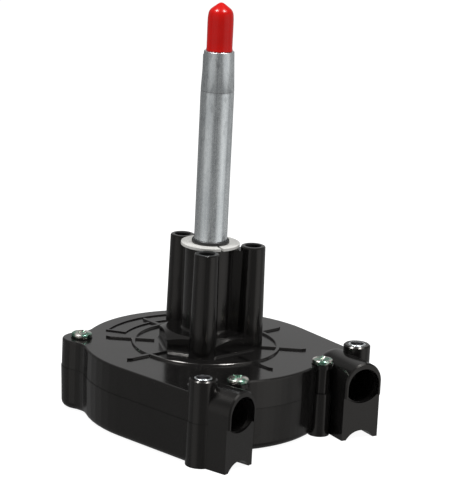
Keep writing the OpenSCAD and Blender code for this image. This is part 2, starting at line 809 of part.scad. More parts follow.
module front_bush() {
    split_turn = -107;
    color(nylon) difference() {
        split_sleeve(tower_z - bush_len, flange_z, tower_z, flange_z, flange_out);
        rotate(split_turn) translate([0, -split_w / 2, tower_z - bush_len - over])
            cube([2 * boss_ring, split_w, bush_len + flange_t + 2 * over]);
    }
}

module lower_bush() {
    flange_top = lower_bush_z + inner_flange_t;
    flange_reach = 3;
    color(nylon) split_sleeve(lower_bush_z, drum_top - seat, lower_bush_z, flange_top, flange_reach);
}

module rear_bush() {
    top = gear_z - run;
    flange_reach = 2.5;
    color(nylon) {
        tube(journal_d / 2 + run, journal_d / 2 + rear_bush_t, floor_t - bush_foot, top);
        tube(journal_d / 2 + run, journal_d / 2 + rear_bush_t + flange_reach, top - inner_flange_t, top);
    }
}

module seal_ring() {
    color([0.06, 0.06, 0.06]) translate([0, 0, flange_z]) rotate_extrude()
        translate([shaft_d / 2 + seat + seal_t / 2, 0]) {
            for (z = [seal_t / 2, seal_h - seal_t / 2]) translate([0, z]) circle(d = seal_t);
            translate([-seal_t / 2, seal_t / 2]) square([seal_t, seal_h - seal_t]);
        }
}

module thrust_washer() {
    color(zinc) tube(shaft_d / 2 + run, boss_tube_r + 2, hub_top + run, hub_top + run + washer_t);
}

// Cable drum: a grooved rim with cross teeth for the cable, and a ring gear in its skirt
module cable_drum() {
    groove_teeth = 60;
    tooth_cut = 2.4;
    tooth_depth = 1.4;
    rim_t = 4;
    wall_bite = 1;
    rib_t = 3;
    rib_drop = 4;
    window_r = 7;
    rim_r = cable_r - cable_d / 2;
    color([0.6, 0.61, 0.62]) difference() {
        union() {
            rotate(7) rotate_extrude() difference() {
                union() {
                    translate([rim_r - rim_t, web_z]) square([lip_r - rim_r + rim_t, drum_top - web_z]);
                    translate([ring_gear_r - gear_m - wall_bite, skirt_z])
                        square([skirt_r - ring_gear_r + gear_m + wall_bite, web_z + over - skirt_z]);
                    translate([drum_bore_r, web_z]) square([cable_r - cable_d - drum_bore_r, web_t]);
                    translate([drum_bore_r, web_z]) square([drum_hub_t, drum_top - web_z]);
                }
                translate([cable_r, port_z]) circle(d = cable_d);
            }
            for (a = [30 : 60 : 330]) rotate(a) translate([drum_hub_r - wall_bite, -rib_t / 2, web_z])
                cube([rim_r - drum_hub_r - 2 * wall_bite, rib_t, drum_top - web_z - rib_drop]);
        }
        translate([0, 0, skirt_z - over]) linear_extrude(gear_top + room + over - skirt_z)
            rotate(180 / ring_teeth) polygon(gear_outline(
                ring_teeth, ring_gear_r - addendum, ring_gear_r + dedendum, -backlash, 3));
        hole(ring_gear_r - addendum, gear_top, web_z - flush);
        for (i = [0 : groove_teeth - 1]) rotate(360 / groove_teeth * i)
            translate([rim_r - tooth_depth, -tooth_cut / 2, port_z - cable_d / 4])
                cube([2 * tooth_depth, tooth_cut, cable_d / 2]);
        for (a = [0 : 60 : 300]) rotate(a) translate([(drum_hub_r + rim_r) / 2, 0, 0])
            hole(window_r, web_z - over, web_z + web_t + over);
    }
}

module drum_washer() {
    color(nylon) tube(drum_bore_r + 0.1, drum_hub_r, drum_top + run, ceiling_z - seat);
}

module drum_slide_ring() {
    color(nylon) tube(skirt_r - skirt_t + seat, skirt_r - seat, skirt_z - run - slide_ring_t, skirt_z - run);
}

// Planet gears and what carries them
module planet_gear(i) {
    bore_r = pin_d / 2 + run + planet_bush_t + seat;
    rim_t = 3;
    recess = 1.5;
    color([0.5, 0.5, 0.52]) at_planet(i) translate([0, 0, gear_z]) rotate(-planets[i]) difference() {
        linear_extrude(gear_w) rotate(180 / planet_teeth)
            polygon(gear_outline(planet_teeth, planet_r - dedendum, planet_r + addendum, backlash, 4));
        hole(bore_r, -over, gear_w + over);
        for (z = [0, gear_w]) tube(bore_r + rim_t, planet_r - dedendum - rim_t, z - recess, z + recess);
    }
}

module at_planet(i) {
    rotate(planets[i]) translate([centre_r, 0, 0]) children();
}

module planet_bush(i) {
    color([0.72, 0.55, 0.3]) at_planet(i)
        tube(pin_d / 2 + run, pin_d / 2 + run + planet_bush_t, gear_z, gear_top);
}

module planet_pins() {
    rivet_out = 0.8;
    color(zinc) for (i = [0 : 2]) at_planet(i) {
        hole(pin_d / 2, pin_foot, carrier_z);
        hole(pin_tip_r, pin_foot, carrier_z + carrier_t + rivet_h);
        hole(pin_d / 2 + rivet_out, carrier_z + carrier_t, carrier_z + carrier_t + rivet_h);
    }
}

module planet_washers(z, top) {
    washer_rim = 4.5;
    color(nylon) for (i = [0 : 2]) at_planet(i) tube(pin_d / 2 + run, pin_d / 2 + washer_rim, z, top);
}

module lower_planet_washers() {
    planet_washers(gear_z - run - washer_t, gear_z - run);
}

module upper_planet_washers() {
    planet_washers(gear_top + run, carrier_z - run);
}

module carrier_plate() {
    pinion_gap = 1.2;
    inner_r = sun_r + addendum + pinion_gap;
    rim_r = pin_tip_r + carrier_rim;
    color(zinc) difference() {
        union() {
            tube(inner_r, inner_r + carrier_rim, carrier_z, carrier_z + carrier_t);
            for (i = [0 : 2]) {
                at_planet(i) hole(rim_r, carrier_z, carrier_z + carrier_t);
                rotate(planets[i]) translate([inner_r + over, -carrier_rim, carrier_z])
                    cube([centre_r - inner_r - over, 2 * carrier_rim, carrier_t]);
            }
        }
        for (i = [0 : 2]) at_planet(i)
            hole(pin_tip_r + seat, carrier_z - over, carrier_z + carrier_t + over);
    }
}

// Screws and inserts
module casing_screw() {
    head_r = screw_head_d / 2;
    dome_r = 2.2 * head_r;
    slot_len = 0.96 * head_r;
    slot_w = 1.2;
    slot_depth = 2;
    difference() {
        union() {
            rotate_extrude() intersection() {
                translate([0, screw_head_h - dome_r]) circle(dome_r);
                square([head_r, screw_head_h]);
            }
            hole(screw_d / 2, -screw_len, over);
        }
        for (a = [0, 90]) rotate(a) translate([-slot_len / 2, -slot_w / 2, screw_head_h - slot_depth])
            cube([slot_len, slot_w, slot_depth + over]);
    }
}

module screw_pair(p, turn) {
    color([0.62, 0.68, 0.6]) for (side = [-1, 1])
        at([side * p[0], p[1]], screw_seat) rotate(turn + 25 * side) casing_screw();
}

module corner_screws() {
    screw_pair(lug_at, 10);
}

module port_screws() {
    screw_pair(port_screw_at, 30);
}

module lock_insert(side) {
    rim_h = 0.1;
    face_h = 0.3;
    face_step = 0.4;
    color(zinc) at([side * lock_at[0], lock_at[1]]) difference() {
        union() {
            hole(insert_d / 2, lock_top - insert_len, lock_top + rim_h);
            hole(insert_d / 2 - face_step, lock_top, lock_top + face_h);
        }
        hole(lock_d / 2, lock_top - insert_len - over, lock_top + over);
    }
}

front_housing();
back_housing();
steering_shaft();
woodruff_key();
thread_cap();
front_bush();
lower_bush();
rear_bush();
seal_ring();
thrust_washer();
drive_pinion();
pinion_lock_pin();
cable_drum();
drum_washer();
drum_slide_ring();
planet_gear(0);  // planet_gear_1
planet_gear(1);  // planet_gear_2
planet_gear(2);  // planet_gear_3
planet_bush(0);  // planet_bush_1
planet_bush(1);  // planet_bush_2
planet_bush(2);  // planet_bush_3
planet_pins();
lower_planet_washers();
upper_planet_washers();
carrier_plate();
corner_screws();
port_screws();
lock_insert(-1);  // lock_insert_left
lock_insert(1);  // lock_insert_right
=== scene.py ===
"""A boat steering helm: black casing with a hub tower, zinc-plated shaft and a red cap on its thread."""

import json
import math

import bmesh
import bpy
from mathutils import Matrix, Vector


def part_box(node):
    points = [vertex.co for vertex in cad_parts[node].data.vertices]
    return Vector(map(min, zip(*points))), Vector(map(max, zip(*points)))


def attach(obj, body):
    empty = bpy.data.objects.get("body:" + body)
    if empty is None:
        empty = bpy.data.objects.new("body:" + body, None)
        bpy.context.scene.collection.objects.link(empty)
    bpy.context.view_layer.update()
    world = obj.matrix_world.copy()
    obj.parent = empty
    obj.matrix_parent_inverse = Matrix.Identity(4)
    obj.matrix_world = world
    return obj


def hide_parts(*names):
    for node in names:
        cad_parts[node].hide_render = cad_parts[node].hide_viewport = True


MM = 0.001

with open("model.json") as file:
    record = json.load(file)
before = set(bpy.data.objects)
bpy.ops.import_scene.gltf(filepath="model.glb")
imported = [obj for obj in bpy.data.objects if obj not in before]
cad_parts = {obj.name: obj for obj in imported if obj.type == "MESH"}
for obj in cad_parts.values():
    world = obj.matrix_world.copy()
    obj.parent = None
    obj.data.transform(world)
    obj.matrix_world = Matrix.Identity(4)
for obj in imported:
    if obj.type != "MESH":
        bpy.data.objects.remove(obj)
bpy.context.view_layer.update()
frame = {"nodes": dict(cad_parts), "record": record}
nodes = frame["nodes"]


# Camera, at the photograph's angle and distance: angles in degrees, lengths in metres unless in MM
CAMERA_AZIMUTH = -41.65
CAMERA_ELEVATION = 14.4
CAMERA_ROLL = 2.78
CAMERA_DISTANCE = 1.30185
CAMERA_ASIDE = 0.01326
CAMERA_RAISE = 0.04286
CAMERA_CLIP_END = 20
LENS_MM = 168.75
SENSOR_MM = 36
AIM = Vector((0, 0, 0.060))


def add_camera():
    """The camera turns about the point it aims at, then moves aside and up in its own frame."""
    turn = Matrix.Identity(4)
    for angle, axis in ((CAMERA_AZIMUTH, "Z"), (90 - CAMERA_ELEVATION, "X"), (CAMERA_ROLL, "Z")):
        turn = turn @ Matrix.Rotation(math.radians(angle), 4, axis)
    data = bpy.data.cameras.new("camera")
    data.lens = LENS_MM
    data.sensor_width = SENSOR_MM
    data.clip_end = CAMERA_CLIP_END
    camera = bpy.data.objects.new("camera", data)
    back = Matrix.Translation((CAMERA_ASIDE, CAMERA_RAISE, CAMERA_DISTANCE))
    camera.matrix_world = Matrix.Translation(AIM) @ turn @ back
    bpy.context.scene.collection.objects.link(camera)
    bpy.context.scene.camera = camera


# Shader nodes
def feed(tree, socket, value):
    """Links a socket to another node's output, or sets its value."""
    if isinstance(value, bpy.types.NodeSocket):
        tree.links.new(value, socket)
    else:
        socket.default_value = value


def shader_node(tree, kind, inputs=(), **settings):
    """Adds a shader node; inputs is a dict of socket name or number to a value or another node's output."""
    made = tree.nodes.new("ShaderNode" + kind)
    for key, value in settings.items():
        setattr(made, key, value)
    for key, value in dict(inputs).items():
        feed(tree, made.inputs[key], value)
    return made


def math_node(tree, operation, *values):
    """The output of a Math node."""
    return shader_node(tree, "Math", dict(enumerate(values)), operation=operation).outputs[0]


def weighted(tree, *terms):
    """The sum of values times their weights, given as (value, weight) terms."""
    total = 0
    for value, weight in terms:
        total = math_node(tree, "MULTIPLY_ADD", value, weight, total)
    return total


def map_range(tree, value, source, target, **settings):
    """Takes a value from one (low, high) range to another, and holds it at their ends."""
    ends = {"From Min": source[0], "From Max": source[1], "To Min": target[0], "To Max": target[1]}
    return shader_node(tree, "MapRange", {"Value": value, **ends}, **settings).outputs[0]


def mix_colour(tree, share, low, high):
    """The colour low where the share is 0, high where it is 1, and a blend between."""
    made = shader_node(tree, "Mix", data_type="RGBA")
    for name, value in (("Factor_Float", share), ("A_Color", low), ("B_Color", high)):
        feed(tree, next(s for s in made.inputs if s.identifier == name), value)
    return next(s for s in made.outputs if s.identifier == "Result_Color")


def opaque(colour, level=1):
    """A colour times a level, with alpha."""
    return (*(level * c for c in colour), 1)


def grey(level):
    """A grey with alpha."""
    return opaque((1, 1, 1), level)


# Room: the even light on the object, and what a mirror on it sees, which is a level and soft panels. Each
# panel has its direction, in degrees to the right of the camera and above the floor, the cosines of the
# angles from there to its edge and to where it is full, and its brightness
AMBIENT = 0.38
ROOM_LEVEL = 0.21
ROOM_PANELS = [
    (0, 90, 0.5, 0.95, 0.1),
    (60, 0, 0.83, 0.985, 0.52),
    (-48, 0, 0.77, 0.98, 0.29),
    (102, 0, 0.8, 0.98, 0.16),
    (146, -12, 0.84, 0.98, 0.12),
    (180, 22, 0.85, 0.975, 0.26),
    (62, 58, 0.92, 0.985, 1.5),
    (-70, 58, 0.94, 0.985, 1.0),
]


def room_panel(tree, direction, turn, rise, edge, full, level):
    """The brightness of one soft panel of the room in a direction. The camera's azimuth counts from -Y."""
    raised = Vector((math.cos(math.radians(rise)), 0, math.sin(math.radians(rise))))
    middle = Matrix.Rotation(math.radians(CAMERA_AZIMUTH - 90 + turn), 3, "Z") @ raised
    cosine = shader_node(tree, "VectorMath", {0: direction, 1: middle}, operation="DOT_PRODUCT").outputs[1]
    return map_range(tree, cosine, (edge, full), (0, level), interpolation_type="SMOOTHSTEP")


def add_world():
    """A pale studio: white behind the object, an even light on it, and soft panels in its reflections."""
    world = bpy.data.worlds.new("studio")
    bpy.context.scene.world = world
    world.use_nodes = True
    tree = world.node_tree
    tree.nodes.clear()
    path = shader_node(tree, "LightPath").outputs
    direction = shader_node(tree, "TexCoord").outputs["Generated"]
    room = ROOM_LEVEL
    for panel in ROOM_PANELS:
        room = math_node(tree, "ADD", room, room_panel(tree, direction, *panel))
    lit = mix_colour(tree, path["Is Camera Ray"], grey(AMBIENT), grey(1))
    mirrored = mix_colour(tree, path["Is Glossy Ray"], lit, room)
    light = shader_node(tree, "Background", {"Color": mirrored, "Strength": 1})
    shader_node(tree, "OutputWorld", {"Surface": light.outputs[0]})
    world.cycles.sampling_method = "NONE"


# Floor: its half width in metres, and its tone to the light. The camera sees it glow, with a fainter tone
# that keeps the shadow
FLOOR_REACH = 3
FLOOR_TONE = 0.7
FLOOR_SHOWN_TONE = 0.2
FLOOR_GLOW = 0.95


def floor_paint():
    """Matt to the light, and nearly white to the camera."""
    paint = bpy.data.materials.new("floor_white")
    paint.use_nodes = True
    tree = paint.node_tree
    tree.nodes.clear()
    path = shader_node(tree, "LightPath").outputs
    matt = shader_node(tree, "BsdfDiffuse", {"Color": grey(FLOOR_TONE)}).outputs[0]
    faint = shader_node(tree, "BsdfDiffuse", {"Color": grey(FLOOR_SHOWN_TONE)}).outputs[0]
    glow = shader_node(tree, "Emission", {"Color": grey(1), "Strength": FLOOR_GLOW}).outputs[0]
    shown = shader_node(tree, "AddShader", {0: glow, 1: faint}).outputs[0]
    mixed = shader_node(tree, "MixShader", {0: path["Is Camera Ray"], 1: matt, 2: shown}).outputs[0]
    shader_node(tree, "OutputMaterial", {"Surface": mixed})
    return paint


def add_floor():
    """A square floor, which the object's gloss doesn't show."""
    mesh = bpy.data.meshes.new("floor")
    corners = [(FLOOR_REACH * x, FLOOR_REACH * y, 0) for x, y in ((-1, -1), (1, -1), (1, 1), (-1, 1))]
    mesh.from_pydata(corners, [], [(0, 1, 2, 3)])
    mesh.materials.append(floor_paint())
    floor = bpy.data.objects.new("floor", mesh)
    bpy.context.scene.collection.objects.link(floor)
    floor.visible_glossy = False


# Lamps: square soft boxes above the object, in metres and watts
LAMP_PLACES = {"left_box": (-0.41, 0.17, 1.01), "right_box": (0.146, -0.373, 1.02)}
LAMP_SIZE = 0.24
LAMP_POWER = 8


def add_lamp(name, place):
    """A soft box that shines on the point that the camera aims at."""
    data = bpy.data.lights.new(name, "AREA")
    data.shape = "SQUARE"
    data.size = LAMP_SIZE
    data.energy = LAMP_POWER
    lamp = bpy.data.objects.new(name, data)
    lamp.location = place
    lamp.rotation_mode = "QUATERNION"
    lamp.rotation_quaternion = (AIM - Vector(place)).to_track_quat("-Z", "Y")
    bpy.context.scene.collection.objects.link(lamp)


add_camera()
add_world()
add_floor()
for name, place in LAMP_PLACES.items():
    add_lamp(name, place)
bpy.context.scene.view_settings.view_transform = "Standard"


# Materials, from noise that mostly stays in one range
NOISE_RANGE = (0.3, 0.7)
BEVEL_SAMPLES = 16


def new_material(name):
    """A material with a Principled shader; returns the material, its tree and the shader."""
    made = bpy.data.materials.new(name)
    made.use_nodes = True
    tree = made.node_tree
    shader = next(n for n in tree.nodes if n.type == "BSDF_PRINCIPLED")
    return made, tree, shader


def object_place(tree):
    """The place on the object's own axes, in metres."""
    return shader_node(tree, "TexCoord").outputs["Object"]


def noise(tree, per_metre, detail=3, stretch=(1, 1, 1)):
    """Noise over the object's own place, in cycles for each metre."""
    place = shader_node(tree, "Mapping", {"Vector": object_place(tree), "Scale": stretch}).outputs[0]
    return shader_node(tree, "TexNoise", {"Vector": place, "Scale": per_metre, "Detail": detail}).outputs[0]


def bump(tree, shader, height, strength, distance, rounding=0.0):
    """Bump from a height, over edges that are shaded as rounded by that radius."""
    made = shader_node(tree, "Bump", {"Height": height, "Strength": strength, "Distance": distance})
    if rounding:
        edge = shader_node(tree, "Bevel", {"Radius": rounding}, samples=BEVEL_SAMPLES)
        feed(tree, made.inputs["Normal"], edge.outputs[0])
    feed(tree, shader.inputs["Normal"], made.outputs[0])


def black_casing():
    """Semi-gloss black enamel on cast metal, with a faint orange peel."""
    made, tree, shader = new_material("black_casing")
    mottle = noise(tree, per_metre=45)
    peel = noise(tree, per_metre=700)
    tone = mix_colour(tree, mottle, opaque((0.0036, 0.0034, 0.0034)), opaque((0.0056, 0.0053, 0.0052)))
    feed(tree, shader.inputs["Base Color"], tone)
    feed(tree, shader.inputs["Roughness"], map_range(tree, mottle, NOISE_RANGE, (0.14, 0.2)))
    feed(tree, shader.inputs["Specular Tint"], opaque((1, 0.965, 0.92)))
    bump(tree, shader, peel, strength=0.05, distance=0.05 * MM)
    return made


def handled(tree, tone, mark, span):
    """A tone that darkens and takes marks more and more from one height to another, in metres."""
    height = shader_node(tree, "SeparateXYZ", {0: object_place(tree)}).outputs[2]
    growth = map_range(tree, height, span, (0, 1))
    scuffs = noise(tree, per_metre=420, detail=5, stretch=(1, 1, 0.4))
    amount = weighted(tree, (growth, 0.2), (map_range(tree, scuffs, (0.36, 0.46), (1, 0)), 0.4))
    return mix_colour(tree, math_node(tree, "MULTIPLY", growth, amount), tone, mark)


def zinc(name, light, dark, rough=(0.2, 0.36), rounding=0.0, worn=None):
    """Zinc plate: spangle and clouds over streaks along Z; wear grows between the two heights of worn."""
    made, tree, shader = new_material(name)
    streak = noise(tree, per_metre=1100, detail=4, stretch=(1, 1, 0.015))
    spangle = noise(tree, per_metre=1500, detail=4, stretch=(1, 1, 0.45))
    cloud = noise(tree, per_metre=130, stretch=(1, 1, 0.3))
    pattern = weighted(tree, (cloud, 0.3), (spangle, 0.35), (streak, 0.35))
    tone = mix_colour(tree, map_range(tree, pattern, (0.4, 0.58), (0, 1)), opaque(dark), opaque(light))
    if worn:
        tone = handled(tree, tone, opaque(dark, level=0.5), worn)
    grain = weighted(tree, (spangle, 0.5), (streak, 0.5))
    feed(tree, shader.inputs["Base Color"], tone)
    feed(tree, shader.inputs["Metallic"], 1)
    feed(tree, shader.inputs["Roughness"], map_range(tree, grain, NOISE_RANGE, rough))
    relief = math_node(tree, "ADD", streak, spangle)
    bump(tree, shader, relief, strength=0.12, distance=0.03 * MM, rounding=rounding)
    return made


def plated_screw():
    """Zinc plate with the green and pink of thin chromate film, which changes over the head."""
    made, tree, shader = new_material("screw_zinc")
    thickness = map_range(tree, noise(tree, per_metre=260, detail=2), (0.32, 0.68), (0, 1))
    film = shader_node(tree, "ValToRGB", {"Fac": thickness})
    stops = [
        (0.0, (0.12, 0.27, 0.19)),
        (0.4, (0.30, 0.46, 0.37)),
        (0.66, (0.72, 0.67, 0.62)),
        (1.0, (0.86, 0.84, 0.80)),
    ]
    for place, _ in stops[1:-1]:
        film.color_ramp.elements.new(place)
    for stop, (place, colour) in zip(film.color_ramp.elements, stops):
        stop.position = place
        stop.color = opaque(colour)
    grain = noise(tree, per_metre=900)
    feed(tree, shader.inputs["Base Color"], film.outputs[0])
    feed(tree, shader.inputs["Metallic"], 1)
    feed(tree, shader.inputs["Roughness"], map_range(tree, grain, NOISE_RANGE, (0.16, 0.3)))
    bump(tree, shader, noise(tree, per_metre=2200), strength=0.08, distance=0.03 * MM)
    return made


def plain(name, colour, rough, per_metre=200, metallic=0.0, gloss=0.5, rounding=0.0):
    """A smooth moulded finish with a slight change of tone and gloss over the surface."""
    made, tree, shader = new_material(name)
    speck = noise(tree, per_metre)
    tone = mix_colour(tree, speck, opaque(colour, level=0.86), opaque(colour))
    roughness = map_range(tree, speck, NOISE_RANGE, (0.85 * rough, 1.15 * rough))
    feed(tree, shader.inputs["Base Color"], tone)
    feed(tree, shader.inputs["Roughness"], roughness)
    feed(tree, shader.inputs["Metallic"], metallic)
    feed(tree, shader.inputs["Specular IOR Level"], gloss)
    bump(tree, shader, noise(tree, 8 * per_metre), strength=0.05, distance=0.04 * MM, rounding=rounding)
    return made


# The finish of each material slot, and two that only parts of a piece have
FINISHES = {
    "casing": black_casing(),
    "zinc_steel": zinc("zinc_steel", light=(0.93, 0.97, 0.98), dark=(0.66, 0.70, 0.72), worn=(0.12, 0.2)),
    "screw_zinc": plated_screw(),
    "red_cap": plain("red_vinyl", (0.45, 0.002, 0.0005), rough=0.22, per_metre=120, gloss=0.32),
    "white_bush": plain("nylon", (0.5, 0.494, 0.47), rough=0.4, rounding=0.2 * MM),
    "seal_rubber": plain("seal_rubber", (0.012, 0.012, 0.012), rough=0.42),
    "gear_steel": zinc("gear_steel", light=(0.46, 0.46, 0.47), dark=(0.34, 0.34, 0.35), rounding=0.15 * MM),
    "drum_alloy": plain("drum_alloy", (0.6, 0.6, 0.61), rough=0.45, per_metre=300, metallic=1,
                        rounding=0.2 * MM),
    "bronze": plain("bronze", (0.6, 0.42, 0.2), rough=0.4, per_metre=300, metallic=1),
}
# Dark zinc, painted on the inserts' mouths and threads as the shade inside the bore
PAINTED_SHADE_BORE = zinc("painted_shade_bore", light=(0.06, 0.06, 0.065), dark=(0.03, 0.03, 0.03), rough=(0.45, 0.6))
ROUGH_HOLE = plain("rough_hole", (0.004, 0.004, 0.004), rough=0.7, gloss=0.2)


# Shading: an edge that is sharper than its angle, in degrees, stays sharp. At a weight of 50 large faces and
# small ones set the normals alike
NODE_ANGLE = 28
HOUSING_ANGLE = 36
PIECE_ANGLE = 32
SCREW_ANGLE = 30
CAP_ANGLE = 60
LARGE_FACE_WEIGHT = 80


def finish_nodes():
    """Gives every CAD node the finish of its material slot."""
    for part in frame["record"]["subparts"]:
        mesh = nodes[part["node"]].data
        mesh.materials.clear()
        mesh.materials.append(FINISHES[part["material_slot"]])


def smooth_faces(mesh, angle):
    """Shades a mesh smooth, except across edges sharper than the angle."""
    mesh.shade_smooth()
    mesh.set_sharp_from_angle(angle=math.radians(angle))


def even_normals(piece):
    """Lets the larger faces set the shading, so that flat walls stay flat beside their rounded edges."""
    even = piece.modifiers.new("normals", "WEIGHTED_NORMAL")
    even.keep_sharp = True
    even.weight = LARGE_FACE_WEIGHT


finish_nodes()
for piece in nodes.values():
    smooth_faces(piece.data, NODE_ANGLE)
for name in ("front_housing", "back_housing"):
    smooth_faces(nodes[name].data, HOUSING_ANGLE)
    even_normals(nodes[name])


# Turned and moulded pieces, in millimetres until add_piece. Points closer than the merge distance become one,
# and a thread fades out over a length at each end
MERGE_DISTANCE = 0.0005
THREAD_FADE = 1.2


def heights(node):
    """A CAD node's lowest and highest z at rest, in millimetres."""
    return [corner.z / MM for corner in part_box(node)]


def arc_points(centre, radius, start, end, steps):
    """Points (r, z) along an arc, between two angles in degrees."""
    turns = [math.radians(start + (end - start) * k / steps) for k in range(steps + 1)]
    return [(centre[0] + radius * math.cos(a), centre[1] + radius * math.sin(a)) for a in turns]


def turned(outline, steps, wave=None):
    """Vertices and faces of an outline of (r, z) points turned about Z; wave(r, z, turn) gives a new r."""
    verts, faces = [], []
    count = len(outline)
    for k in range(steps):
        turn = 2 * math.pi * k / steps
        for r, z in outline:
            reach = wave(r, z, turn) if wave else r
            verts.append((reach * math.cos(turn), reach * math.sin(turn), z))
    for k in range(steps):
        here, there = k * count, (k + 1) % steps * count
        for i in range(count - 1):
            faces.append((here + i, there + i, there + i + 1, here + i + 1))
    return verts, faces


def thread(low, high, pitch, depth, rows=8):
    """The heights of a thread's outline, in rows to each pitch, and the wave that cuts it for turned()."""
    count = int((high - low) / pitch * rows)
    outline_heights = [low + (high - low) * k / count for k in range(count + 1)]

    def wave(r, z, turn):
        """Crest, root and flanks take a quarter of the pitch each, and the thread fades out at its ends."""
        if not low < z < high:
            return r
        phase = (z / pitch - turn / (2 * math.pi)) % 1
        ridge = min(1, max(0, 1.5 - 4 * abs(phase - 0.5)))
        fade = min(1, (z - low) / THREAD_FADE, (high - z) / THREAD_FADE)
        return r + (ridge - 1) * depth * fade

    return outline_heights, wave


def moved(shape, place):
    """A (vertices, faces) shape set down at a place."""
    verts, faces = shape
    return [tuple(Vector(place) + Vector(v)) for v in verts], faces


def add_piece(name, shapes, body, replaced, slot, angle=PIECE_ANGLE):
    """One piece made of (vertices, faces) shapes, that stands for a CAD node."""
    mesh = bpy.data.meshes.new(name)
    form = bmesh.new()
    for verts, faces in shapes:
        made = [form.verts.new(Vector(v) * MM) for v in verts]
        for face in faces:
            form.faces.new([made[i] for i in face])
    bmesh.ops.remove_doubles(form, verts=form.verts, dist=MERGE_DISTANCE * MM)
    bmesh.ops.recalc_face_normals(form, faces=form.faces)
    form.to_mesh(mesh)
    form.free()
    smooth_faces(mesh, angle)
    mesh.materials.append(FINISHES[slot])
    piece = bpy.data.objects.new(name, mesh)
    bpy.context.scene.collection.objects.link(piece)
    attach(piece, body)
    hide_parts(replaced)
    return piece


def darken(piece, material, chosen):
    """Gives another material to the faces whose middle, in millimetres, is chosen."""
    mesh = piece.data
    mesh.materials.append(material)
    for face in mesh.polygons:
        if chosen(face.center / MM):
            face.material_index = len(mesh.materials) - 1


# Steering shaft, from its lower end up: journal, straight part, groove, taper, neck and thread. The CAD
# gives its ends, and its shoulders are a small gap away from the pinion and the cap. The thread starts above
# the upper shoulder and stops below the top. The chamfers of neck and tip are (width, height)
SHAFT_STEPS = 120
SHOULDER_GAP = 0.05
JOURNAL_R = 6
JOURNAL_CHAMFER = 0.5
SHAFT_R = 9.525
GROOVE_H = 1.6
GROOVE_OVERHANG_H = 0.3
GROOVE_DEPTH = 0.14
TAPER_LOW_R = SHAFT_R - 0.01
TAPER_R = 8.592
TAPER_H = 22.4
TAPER_ROUNDING = 0.45
NECK_R = 5.4
NECK_H = 1.5
NECK_CHAMFER = (0.1, 0.2)
THREAD_R = 6.35
THREAD_PITCH = 1.27
THREAD_DEPTH = 0.78
THREAD_START = 2.4
THREAD_STOP = 1.2
TIP_R = 5.05
TIP_CHAMFER = (0.2, 0.1)
CAP_LOW, CAP_TOP = heights("thread_cap")


def add_shaft():
    """The shaft with its thread, and with painted shade on the overhang of its groove."""
    low, top = heights("steering_shaft")
    journal_top = heights("drive_pinion")[1] + SHOULDER_GAP
    shoulder = CAP_LOW - SHOULDER_GAP
    taper = shoulder - TAPER_H
    rows, wave = thread(shoulder + THREAD_START, top - THREAD_STOP, THREAD_PITCH, THREAD_DEPTH)
    outline = (
        [(0, low), (JOURNAL_R - JOURNAL_CHAMFER, low), (JOURNAL_R, low + JOURNAL_CHAMFER)]
        + [(JOURNAL_R, journal_top), (SHAFT_R, journal_top), (SHAFT_R, taper - GROOVE_H)]
        + [(SHAFT_R - GROOVE_DEPTH, taper - GROOVE_OVERHANG_H), (TAPER_LOW_R, taper)]
        + arc_points((TAPER_R - TAPER_ROUNDING, shoulder - TAPER_ROUNDING), TAPER_ROUNDING, 5, 90, 4)
        + [(NECK_R + NECK_CHAMFER[0], shoulder), (NECK_R, shoulder + NECK_CHAMFER[1])]
        + [(NECK_R, shoulder + NECK_H)]
        + [(THREAD_R, z) for z in rows]
        + [(TIP_R + TIP_CHAMFER[0], top - TIP_CHAMFER[1]), (TIP_R, top), (0, top)])
    shape = turned(outline, SHAFT_STEPS, wave)
    shaft = add_piece("turned_shaft", [shape], "shaft", "steering_shaft", "zinc_steel")
    # The groove's downward overhang takes the darker gear steel as painted shade
    darken(shaft, FINISHES["gear_steel"],
           lambda place: taper - GROOVE_OVERHANG_H < place.z < taper and place.xy.length > TAPER_R)


# Soft cap: a rolled foot, straight sides, a rounded shoulder and a blunt cone, hollow up to its nose. The
# points are (radius, height above the foot) for the foot and the mouth, and (radius, depth below the top)
# for the rest. It is out of round by shares of its radius
CAP_STEPS = 72
CAP_OVAL = 0.006
CAP_THREE_SIDED = 0.004
CAP_FOOT = [(6.55, 0.02), (6.75, 0), (7.1, 0), (7.35, 0.1), (7.47, 0.35), (7.47, 0.7), (7.38, 1.05),
            (7.3, 1.5), (7.3, 6)]
CAP_NOSE = [(7.34, 12.0), (7.3, 9.4), (7.16, 7.3), (6.9, 5.8), (6.45, 4.7), (5.75, 3.75), (4.7, 2.85),
            (3.4, 1.85), (2.2, 0.95), (1.4, 0.42), (0.7, 0.1), (0, 0)]
CAP_HOLLOW = [(0, 5.3), (3.4, 5.3), (5.6, 6.1), (6.5, 7.5)]
CAP_MOUTH = [(6.5, 0.3), (6.55, 0.02)]


def cap_wave(r, z, turn):
    """A soft dip-moulded wall is never quite round: oval near the top, three-sided near the foot."""
    rise = (z - CAP_LOW) / (CAP_TOP - CAP_LOW)
    oval = CAP_OVAL * rise * math.cos(2 * turn + 1.1)
    three_sided = CAP_THREE_SIDED * (1 - rise) * math.sin(3 * turn + 6 * rise)
    return r * (1 + oval - three_sided)


def add_cap():
    """The soft cap over the shaft's thread."""
    outside = [(r, CAP_LOW + h) for r, h in CAP_FOOT] + [(r, CAP_TOP - h) for r, h in CAP_NOSE]
    inside = [(r, CAP_TOP - h) for r, h in CAP_HOLLOW] + [(r, CAP_LOW + h) for r, h in CAP_MOUTH]
    walls = [turned(outside, CAP_STEPS, cap_wave), turned(inside, CAP_STEPS)]
    add_piece("soft_cap", walls, "cap", "thread_cap", "red_cap", angle=CAP_ANGLE)


